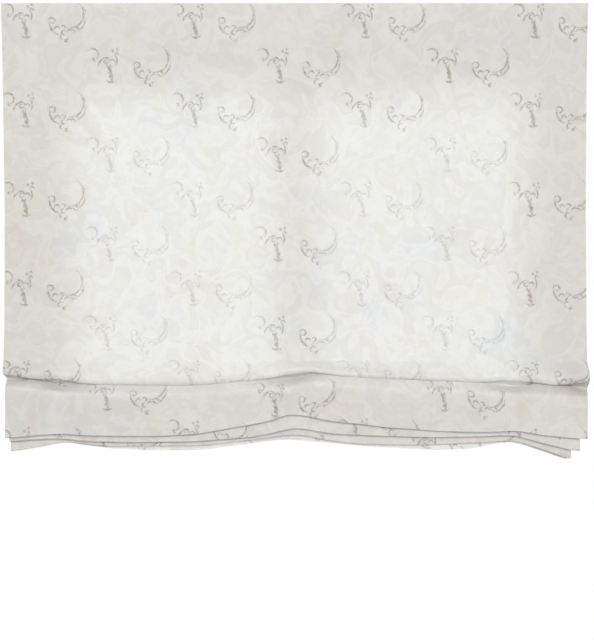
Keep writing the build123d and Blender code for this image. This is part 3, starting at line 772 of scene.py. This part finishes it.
# Each line is the finish's name, its colour on the panel, its roughness, the size and height of
# its grain in millimetres, and what else plain_finish takes.
FINISHES = {
    # extruded, then powder-coated: an even white with a faint orange peel and soft gloss
    "headrail": ("powder-coated aluminium", "rail", 0.38, 0.9, 0.03, {"coat": 0.1}),
    # extruded and left bare: long drawn lines along the rod and a dull shine
    "shaft": (
        "mill-finish aluminium", "shaft", 0.34, 0.8, 0.02, {"metallic": 1.0, "stretch": (0.04, 1, 1), "spread": 0.1}
    ),
    # pressed sheet, powder-coated: thicker coat than the rail's, with a coarser peel
    "bracket_steel": ("powder-coated steel", "bracket", 0.45, 1.2, 0.05, {"coat": 0.1}),
    # turned, then zinc-plated: bright, cloudy grey metal
    "pin_steel": ("zinc-plated steel", "pin", 0.3, 0.5, 0.02, {"metallic": 1.0, "spread": 0.15}),
    # drawn and oil-hardened wire: dark blue-grey metal with fine draw lines
    "spring_steel": ("oil-hardened spring wire", "spring", 0.4, 0.4, 0.02, {"metallic": 1.0, "spread": 0.2}),
    # moulded nylon with a spark-eroded texture: waxy, slightly grainy white
    "white_plastic": ("moulded nylon", "plastic", 0.42, 0.6, 0.02, {}),
    # moulded acetal, polished tool: milky and glossier than the nylon
    "ring_plastic": ("moulded acetal", "ring", 0.22, 0.5, 0.01, {"coat": 0.2}),
}
# Each line is the tape's name, its colour, its spacing and height in millimetres, and its pile.
TAPES = {
    # moulded nylon hooks, 1.5 mm apart, drawn at 2 mm so that they show
    "hook_tape": ("nylon hook tape", "hook_tape", 2.0, 0.4, False),
    # brushed nylon loops: a soft matted pile that hides its backing
    "loop_tape": ("nylon loop tape", "loop_tape", 1.6, 0.3, True),
}


def finish_for(slot_name):
    """The material for one of the record's slots, made from the panel's colours once."""
    colours = bpy.context.scene.blind_colours
    if slot_name in TAPES:
        name, colour, spacing, depth, woolly = TAPES[slot_name]
        return tape_finish(name, getattr(colours, colour), spacing * MM, depth * MM, woolly)
    name, colour, roughness, grain, depth, more = FINISHES[slot_name]
    return plain_finish(name, getattr(colours, colour), roughness, grain * MM, depth * MM, **more)


# ================================================================ sizes and colours
def length_property(name, description, length):
    """A length that the panel shows."""
    return FloatProperty(name=name, description=description, default=length, unit="LENGTH", precision=4)


class BlindSizes(bpy.types.PropertyGroup):
    """Sizes of the cloth, the cords and the stitching."""

    columns: IntProperty(name="Columns", description="Steps across the cloth's width", default=216, min=40, max=260)
    flute_depth: length_property("Flute depth", "How far the flat cloth stands forward between the cords", 2.6 * MM)
    wrinkle_depth: length_property("Wrinkle depth", "Height of the wrinkles that run out from the rings", 1.1 * MM)
    swell_depth: length_property("Swell depth", "How far the cloth swells out above its first crease", 29 * MM)
    fold_depth: length_property("Fold depth", "How far the front fold stands out from the hanging cloth", 43 * MM)
    cord_width: length_property("Cord width", "Width of the lift cords", 1.4 * MM)
    thread_width: length_property("Thread width", "Width of the thread that holds the rings", 0.5 * MM)
    loops_at_ring: IntProperty(
        name="Loops at a ring", description="Turns of thread that hold each ring", default=3, min=1, max=6
    )


def colour_property(name, description, code):
    """A colour that the panel shows, whose default is an sRGB hex value."""
    return FloatVectorProperty(
        name=name, description=description, subtype="COLOR", size=4, min=0.0, max=1.0, default=linear(code)
    )


class BlindColours(bpy.types.PropertyGroup):
    """Colours of the print, the cords and the hardware."""

    ground: colour_property("Ground", "The cloth's own colour", "#efeeec")
    warm_tint: colour_property("Warm tint", "Faded rosy pools in the ground", "#ece6e2")
    cool_tint: colour_property("Cool tint", "Faded bluish pools in the ground", "#e8e9ec")
    straw_tint: colour_property("Straw tint", "Faded straw-coloured pools in the ground", "#ecebe0")
    figure_light: colour_property("Light figures", "Pale marbled figures in the ground", "#f6f6f5")
    figure_dark: colour_property("Dark figures", "Darker edges of the marbled figures", "#e4e3e0")
    ink_warm: colour_property("Warm ink", "Brownish part of the printed scrolls", "#a59b8f")
    ink_grey: colour_property("Grey ink", "Greyish part of the printed scrolls", "#a09e9d")
    ink_strength: FloatProperty(
        name="Ink strength",
        description="How dark the scrolls are printed",
        default=0.72,
        min=0,
        max=1,
        subtype="FACTOR",
    )
    cord: colour_property("Cord", "The cords' bright strands", "#f2f1ee")
    # painted shade: the colour put in the gaps between the cord's strands
    cord_shade: colour_property("Cord shade", "The gaps between the strands", "#c9c7c1")
    thread: colour_property("Thread", "Sewing thread", "#e6e3dc")
    rail: colour_property("Headrail", "Powder coat of the headrail", "#f0f0ee")
    shaft: colour_property("Shaft", "Bare aluminium of the shaft", "#c9cbcd")
    bracket: colour_property("Brackets", "Powder coat of the wall brackets", "#ecebe8")
    pin: colour_property("Pins and screws", "Zinc plating", "#b9bcc0")
    spring: colour_property("Spring", "Hardened spring wire", "#6d7076")
    plastic: colour_property("Moulded parts", "Nylon of the drive, spools and cradles", "#edece8")
    ring: colour_property("Rings", "Acetal of the rings", "#f3f2ee")
    hook_tape: colour_property("Hook tape", "Nylon hooks on the headrail", "#e9e8e5")
    loop_tape: colour_property("Loop tape", "Nylon loops behind the cloth", "#efeeea")
    floor: colour_property("Floor", "The studio floor", "#f2f2f1")


# ================================================================ pieces
class BLIND_OT_hanging_cloth(bpy.types.Operator):
    """Hangs the flat part of the cloth from the headrail"""

    bl_idname = "blind.hanging_cloth"
    bl_label = "Hanging cloth"

    def execute(self, context):
        sizes, colours = context.scene.blind_sizes, context.scene.blind_colours
        # A grid of shares across and drops down. Across, each row runs evenly between the cloth's
        # two edges there. Off its plane, the cloth stands forward by its flutes and wrinkles.
        share = np.linspace(0, 1, sizes.columns + 1)[None, :]
        down = np.linspace(0, FLAT_DROP, 115)[:, None]
        left, right = (np.interp(down, np.array(drops) * MM, edges) for drops, edges in (LEFT_EDGE, RIGHT_EDGE))
        across = edge_to_edge((left, right), share)
        forward = sizes.flute_depth * cloth_flutes(across, down)
        rings = [(x, CLOTH_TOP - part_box(f"ring_row_{row}")[0].z) for row in (1, 2, 3) for x in CORD_X]
        forward += 0.35 * sizes.wrinkle_depth * pulled_wrinkles(across, down, rings)
        # a faint tuck where each row of rings is sewn
        for row in (1, 2, 3):
            level = CLOTH_TOP - middle_of(f"ring_row_{row}").z
            forward = forward - 0.5 * MM * np.exp(-(((down - level) / 0.008) ** 2))
        points = np.stack(np.broadcast_arrays(across, CLOTH_Y - np.maximum(forward, 0), CLOTH_TOP - down), axis=-1)
        places = np.stack(np.broadcast_arrays(share * CLOTH_WIDTH, down), axis=-1)
        cloth = new_piece(
            "hanging_cloth", points, grid_faces(*points.shape[:2])[:, ::-1],
            [printed_cotton(colours), cotton_reverse(colours)], places,
        )
        thicken(cloth, *points.shape[:2], CLOTH_THICKNESS)
        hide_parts("fabric_panel")
        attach(cloth, "rail")
        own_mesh(cloth)
        return {"FINISHED"}


def fold_route(share, sizes):
    """The gathered cloth's route, as corners at every column with their radii and run steps.

    From the hanging cloth it swells forward, turns in to the first crease, and then makes three
    folds. Each runs forward and down from a row of rings, bends at its knee, hangs to its bottom,
    goes up behind itself and returns to the next row. The hem hangs from the last row. Depths are
    forward from the hanging cloth, and drops are down from where the folds begin.
    """
    slope = np.tan(LAYER_SLOPE)
    same = np.ones_like(share)
    start_edges = (LEFT_EDGE[1][-1], RIGHT_EDGE[1][-1])
    at = edge_to_edge(CREASE_EDGES, share)
    crease = smoothed_line(CREASE, at)
    held = nearness(at, [*CORD_X, at[0], at[-1]], 0.042)
    swell = sizes.swell_depth * (1 - 0.28 * held) * (1 + 0.05 * np.sin(at * 23 + 0.8))
    tuck = 20 * MM * (1 - held)  # between the cords the crease lies this far up behind the swelling
    # each line is (edges, depth, drop, bend radius, steps along the run that leads there)
    route = [
        (start_edges, 0 * same, 0 * same, 0, 0),
        (start_edges, 0 * same, LEAD_DROP * same, 7 * MM, 2),
        (SWELL_EDGES, swell, (0.8 - 0.2 * held) * crease, 12 * MM, 7),
        (SWELL_EDGES, 0.78 * swell, (1.0 - 0.2 * held) * crease, 5 * MM, 1),
        (CREASE_EDGES, 0 * same, crease - tuck, 1.5 * MM, 3),
    ]
    for number, (edges, line) in enumerate(zip(FOLD_EDGES, BOTTOMS)):
        front = (sizes.fold_depth - 2 * number * LAYER_GAP) * same
        back = front - LAYER_GAP
        front_start = crease + number * ROW_STACK
        back_start = front_start + ROW_STACK - RIDGE_GAP
        bottom = smoothed_line(line, edge_to_edge(edges, share), 0.012)
        long_run = 14 if number == 0 else 7
        route += [
            (edges, front, front_start + slope * front, 13 * MM, 3),
            (edges, front, bottom, 1.9 * MM, long_run),
            (edges, back, bottom, 1.9 * MM, 1),
            (edges, back, back_start + slope * back, 12 * MM, 6),
            (edges, RIDGE_GAP / 3 * same, back_start + slope * RIDGE_GAP / 3, 1.0 * MM, 2),
            (edges, 0 * same, back_start + RIDGE_GAP, 1.0 * MM, 1),
        ]
    depth = (sizes.fold_depth - 6 * LAYER_GAP) * same
    route += [
        (HEM_EDGES, depth, crease + 3 * ROW_STACK + slope * depth, 12 * MM, 3),
        (HEM_EDGES, depth, smoothed_line(HEM, edge_to_edge(HEM_EDGES, share), 0.012), 0, 7),
    ]
    return route


class BLIND_OT_gathered_cloth(bpy.types.Operator):
    """Gathers the foot of the cloth into its sagging folds"""

    bl_idname = "blind.gathered_cloth"
    bl_label = "Gathered cloth"

    def execute(self, context):
        sizes, colours = context.scene.blind_sizes, context.scene.blind_colours
        # A grid of columns across and of rows along the route, whose corners are rounded. Depths
        # are then scaled by a slow wave along the width, so that the layers bow together.
        share = np.linspace(0, 1, sizes.columns + 1)
        route = fold_route(share, sizes)
        corners = np.stack(
            [
                np.stack([edge_to_edge(edges, share), CLOTH_Y - depth, SPLIT_Z - drop], axis=-1)
                for edges, depth, drop, _, _ in route
            ]
        )
        points = rounded_rows(corners, [row[3] for row in route[1:-1]], 5, [row[4] for row in route[1:]])
        forward = CLOTH_Y - points[..., 1]
        bow = 0.05 * np.sin(points[..., 0] * 14 + 0.5) + 0.035 * np.sin(points[..., 0] * 31 + 2.2)
        points[..., 1] = CLOTH_Y - forward * (1 + bow * (1 - nearness(points[..., 0], CORD_X, 0.03)))
        steps = np.linalg.norm(np.diff(points, axis=0), axis=2)
        along = np.concatenate([np.zeros((1, len(share))), np.cumsum(steps, axis=0)])
        # wrinkles are full on what faces the room, and slight on the layers behind it
        shown = np.clip((FRONT_ALONG - along) / 0.02, 0.12, 1) * np.clip(along / 0.03, 0, 1)
        wrinkles = pulled_wrinkles(points[..., 0], along, [(x, CREASE_ALONG) for x in CORD_X])
        wrinkles += 0.35 * np.sin(points[..., 0] * 57 + along * 31) * np.sin(points[..., 0] * 13 - along * 22 + 1)
        points += facing(points) * (sizes.wrinkle_depth * shown * wrinkles)[..., None]
        places = np.stack(np.broadcast_arrays(share[None, :] * CLOTH_WIDTH, FLAT_DROP + along), axis=-1)
        cloth = new_piece(
            "gathered_cloth", points, grid_faces(*points.shape[:2])[:, ::-1],
            [printed_cotton(colours), cotton_reverse(colours)], places,
        )
        thicken(cloth, *points.shape[:2], CLOTH_THICKNESS)
        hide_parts("fabric_folds")
        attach(cloth, "folds")
        return {"FINISHED"}


class BLIND_OT_lift_cords(bpy.types.Operator):
    """Runs the lift cords down through the rings, and knots them under their orbs"""

    bl_idname = "blind.lift_cords"
    bl_label = "Lift cords"

    def execute(self, context):
        sizes, colours = context.scene.blind_sizes, context.scene.blind_colours
        braid = braided_polyester(colours)
        for name in CORDS:
            # a straight round tube from the spool to the orb
            low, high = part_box(f"lift_cord_{name}")
            middle = (low + high) / 2
            heights = np.linspace(high.z, low.z, 60)
            path = np.stack([np.full(60, middle.x), np.full(60, middle.y), heights], axis=-1)
            points, faces, uvs = tube(path, sizes.cord_width / 2)
            cord = new_piece(f"braided_cord_{name}", points, faces, [braid], uvs)
            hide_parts(f"lift_cord_{name}")
            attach(cord, "rail")
            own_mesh(cord)
            # the knot is a trefoil: three turns of height to two turns round, and a tail below it
            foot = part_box(f"cord_orb_{name}")[0].z
            turn = np.linspace(0, tau, 72, endpoint=False)
            knot = np.stack(
                [
                    middle.x + KNOT_SIZE * (np.sin(turn) + 2 * np.sin(2 * turn)),
                    middle.y + KNOT_SIZE * (np.cos(turn) - 2 * np.cos(2 * turn)),
                    foot - KNOT_DROP - KNOT_SIZE * 1.4 * np.sin(3 * turn),
                ],
                axis=-1,
            )
            drop = np.linspace(0, 1, 14)
            tail = np.stack(
                [
                    middle.x + 1.2 * MM * np.sin(2.2 * drop),
                    middle.y + 0.8 * MM * drop**2,
                    foot - KNOT_DROP - TAIL_LENGTH * drop,
                ],
                axis=-1,
            )
            points, faces, uvs = joined_tubes(
                [tube(knot, sizes.cord_width / 2, closed=True), tube(tail, sizes.cord_width / 2)]
            )
            knotted = new_piece(f"cord_knot_{name}", points, faces, [braid], uvs)
            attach(knotted, "folds")
        return {"FINISHED"}


class BLIND_OT_cord_turns(bpy.types.Operator):
    """Winds the cords on their spools"""

    bl_idname = "blind.cord_turns"
    bl_label = "Cord turns"

    def execute(self, context):
        sizes, colours = context.scene.blind_sizes, context.scene.blind_colours
        braid = braided_polyester(colours)
        for name in CORDS:
            # a helix round the shaft, one cord's width of travel to a turn, in the sleeve's place
            low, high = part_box(f"cord_turns_{name}")
            middle = (low + high) / 2
            radius = (high.z - low.z) / 2 - sizes.cord_width / 2
            width = high.x - low.x - sizes.cord_width
            turns = width / (sizes.cord_width * 1.03)
            angle = np.linspace(0, turns * tau, int(turns * 30))
            path = np.stack(
                [
                    low.x + sizes.cord_width / 2 + width * angle / angle[-1],
                    middle.y + radius * np.sin(angle),
                    middle.z + radius * np.cos(angle),
                ],
                axis=-1,
            )
            points, faces, uvs = tube(path, sizes.cord_width / 2, 8)
            wound = new_piece(f"wound_cord_{name}", points, faces, [braid], uvs)
            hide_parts(f"cord_turns_{name}")
            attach(wound, "shaft")
        return {"FINISHED"}


class BLIND_OT_ring_stitches(bpy.types.Operator):
    """Sews every ring to the cloth with loops of thread"""

    bl_idname = "blind.ring_stitches"
    bl_label = "Ring stitches"

    def execute(self, context):
        sizes, colours = context.scene.blind_sizes, context.scene.blind_colours
        # spun polyester thread: matt, and slightly darker than the cords
        thread = plain_finish("spun polyester thread", colours.thread, 0.8, 0.4 * MM, 0.05 * MM, sheen=0.3)
        node_body = {node: body for body, nodes in frame["record"]["behaviour"]["bodies"].items() for node in nodes}
        for row in range(1, 8):
            node = frame["nodes"][f"ring_row_{row}"]
            places = np.empty(len(node.data.vertices) * 3, dtype=np.float32)
            node.data.vertices.foreach_get("co", places)
            places = places.reshape(-1, 3)
            loops = []
            for x in CORD_X:
                # ellipses that pass round the ring's front and through the cloth
                ring = places[np.abs(places[:, 0] - x) < 0.02]
                front, level = ring[:, 1].min(), (ring[:, 2].min() + ring[:, 2].max()) / 2
                wire = (ring[:, 2].max() - ring[:, 2].min()) / 2
                turn = np.linspace(0, tau, 20, endpoint=False)
                for number in range(sizes.loops_at_ring):
                    beside = (number - (sizes.loops_at_ring - 1) / 2) * 1.6 * sizes.thread_width
                    loops.append(
                        tube(
                            np.stack(
                                [
                                    x + beside + 0.15 * MM * np.sin(turn),
                                    front + wire - 0.35 * MM + (wire + 0.65 * MM) * np.cos(turn),
                                    level + (wire + 0.3 * MM) * np.sin(turn),
                                ],
                                axis=-1,
                            ),
                            sizes.thread_width / 2,
                            6,
                            closed=True,
                        )
                    )
            points, faces, uvs = joined_tubes(loops)
            stitches = new_piece(f"ring_stitches_{row}", points, faces, [thread], uvs)
            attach(stitches, node_body[f"ring_row_{row}"])
        return {"FINISHED"}


class BLIND_OT_hardware_finishes(bpy.types.Operator):
    """Finishes the headrail, its drive, the brackets, the tapes and the rings"""

    bl_idname = "blind.hardware_finishes"
    bl_label = "Hardware finishes"

    def execute(self, context):
        for subpart in frame["record"]["subparts"]:
            node = frame["nodes"][subpart["node"]]
            if node.hide_render:
                continue
            finish = finish_for(subpart["material_slot"])
            if not node.material_slots:
                node.data.materials.append(finish)
            for place in node.material_slots:
                place.material = finish
        return {"FINISHED"}


def add_light(name, place, aim, size, energy, spread=pi, colour=LAMP_WHITE):
    """A soft rectangular lamp that faces the point aim and never shows itself."""
    lamp = bpy.data.lights.new(name, "AREA")
    lamp.shape = "RECTANGLE"
    lamp.size, lamp.size_y = size
    lamp.energy = energy
    lamp.spread = spread
    lamp.color = linear(colour)[:3]
    holder = bpy.data.objects.new(name, lamp)
    holder.location = place
    holder.rotation_euler = (Vector(aim) - Vector(place)).to_track_quat("-Z", "Y").to_euler()
    holder.visible_camera = False
    bpy.context.scene.collection.objects.link(holder)


class BLIND_OT_stage(bpy.types.Operator):
    """Sets the floor, the soft light and the camera"""

    bl_idname = "blind.stage"
    bl_label = "Stage"

    def execute(self, context):
        scene = context.scene
        colours = scene.blind_colours
        # a round floor well below the blind: rings of points from its middle to its rim
        turn = np.arange(96) / 96 * tau
        reach = np.linspace(0.02, 1.4, 12)[:, None]
        points = np.stack(np.broadcast_arrays(reach * np.cos(turn), CLOTH_Y + reach * np.sin(turn), FLOOR_Z), axis=-1)
        faces = grid_faces(12, 96, around=True)[:, ::-1].tolist() + [list(range(96))]
        finish = plain_finish("painted plaster", colours.floor, 0.8, 2 * MM, 0.05 * MM, spread=0.01)
        floor = new_piece("studio_floor", points, faces, [finish])

        # lights: one broad key from the upper left, a fill from the right, one from above, and
        # daylight from behind through a two-paned window
        add_light("key", (-1.0, -2.9, 0.3), (0, CLOTH_Y, -0.6), (2.0, 2.0), 78)
        add_light("fill", (1.5, -2.7, -0.3), (0, CLOTH_Y, -0.6), (2.0, 2.0), 49)
        add_light("above", (0, 0.2, 2.4), (0, 0.2, 0), (2.2, 1.8), 32)
        for name, (left, right) in zip(("left pane", "right pane"), PANES):
            middle_x, middle_z = (left + right) / 2, (PANE_HEAD + PANE_FOOT) / 2
            add_light(
                name, (middle_x, 0.07, middle_z), (middle_x, CLOTH_Y, middle_z),
                (right - left, PANE_HEAD - PANE_FOOT), 0.78, spread=radians(80), colour="#e2efff",
            )
        world = bpy.data.worlds.new("pale studio")
        world.use_nodes = True
        tree = world.node_tree
        tree.nodes.clear()
        # the room is plain white to look at, and lights the blind a little less than that
        seen = add_node(tree, "LightPath")
        bright = add_node(
            tree, "MapRange", inputs={"Value": seen.outputs["Is Camera Ray"], "To Min": ROOM_LIGHT, "To Max": 1.0}
        )
        sky = add_node(tree, "Background", inputs={"Color": linear("#ffffff"), "Strength": bright})
        add_node(tree, "OutputWorld", inputs={"Surface": sky})
        scene.world = world
        scene.view_settings.view_transform = "Standard"

        lens = bpy.data.cameras.new("camera")
        lens.sensor_fit = "HORIZONTAL"
        lens.sensor_width = 36.0
        lens.lens = lens.sensor_width * CAMERA_DISTANCE / VIEW_WIDTH
        camera = bpy.data.objects.new("camera", lens)
        camera.location = (VIEW_MIDDLE[0], CLOTH_Y - CAMERA_DISTANCE, VIEW_MIDDLE[1])
        camera.rotation_euler = (pi / 2, 0, 0)
        scene.collection.objects.link(camera)
        scene.camera = camera
        return {"FINISHED"}


# ================================================================ panel and main
OPERATORS = (
    BLIND_OT_hanging_cloth,
    BLIND_OT_gathered_cloth,
    BLIND_OT_lift_cords,
    BLIND_OT_cord_turns,
    BLIND_OT_ring_stitches,
    BLIND_OT_hardware_finishes,
    BLIND_OT_stage,
)


class BLIND_PT_panel(bpy.types.Panel):
    """Lists the sizes, the colours and the pieces"""

    bl_idname = "BLIND_PT_panel"
    bl_label = "Soft roman blind"
    bl_space_type = "VIEW_3D"
    bl_region_type = "UI"
    bl_category = "Blind"

    def draw(self, context):
        for settings in (context.scene.blind_sizes, context.scene.blind_colours):
            box = self.layout.box()
            for name in settings.__annotations__:
                box.prop(settings, name)
        for operator in OPERATORS:
            self.layout.operator(operator.bl_idname)


CLASSES = (BlindSizes, BlindColours, *OPERATORS, BLIND_PT_panel)


def register():
    """Adds the classes, and the settings to the scene."""
    for item in CLASSES:
        bpy.utils.register_class(item)
    bpy.types.Scene.blind_sizes = PointerProperty(type=BlindSizes)
    bpy.types.Scene.blind_colours = PointerProperty(type=BlindColours)


def unregister():
    """Takes the settings and the classes away again."""
    del bpy.types.Scene.blind_sizes, bpy.types.Scene.blind_colours
    for item in reversed(CLASSES):
        bpy.utils.unregister_class(item)


def main():
    """Makes every piece in turn."""
    register()
    for operator in OPERATORS:
        group, name = operator.bl_idname.split(".")
        getattr(getattr(bpy.ops, group), name)()


if __name__ == "__main__":
    main()
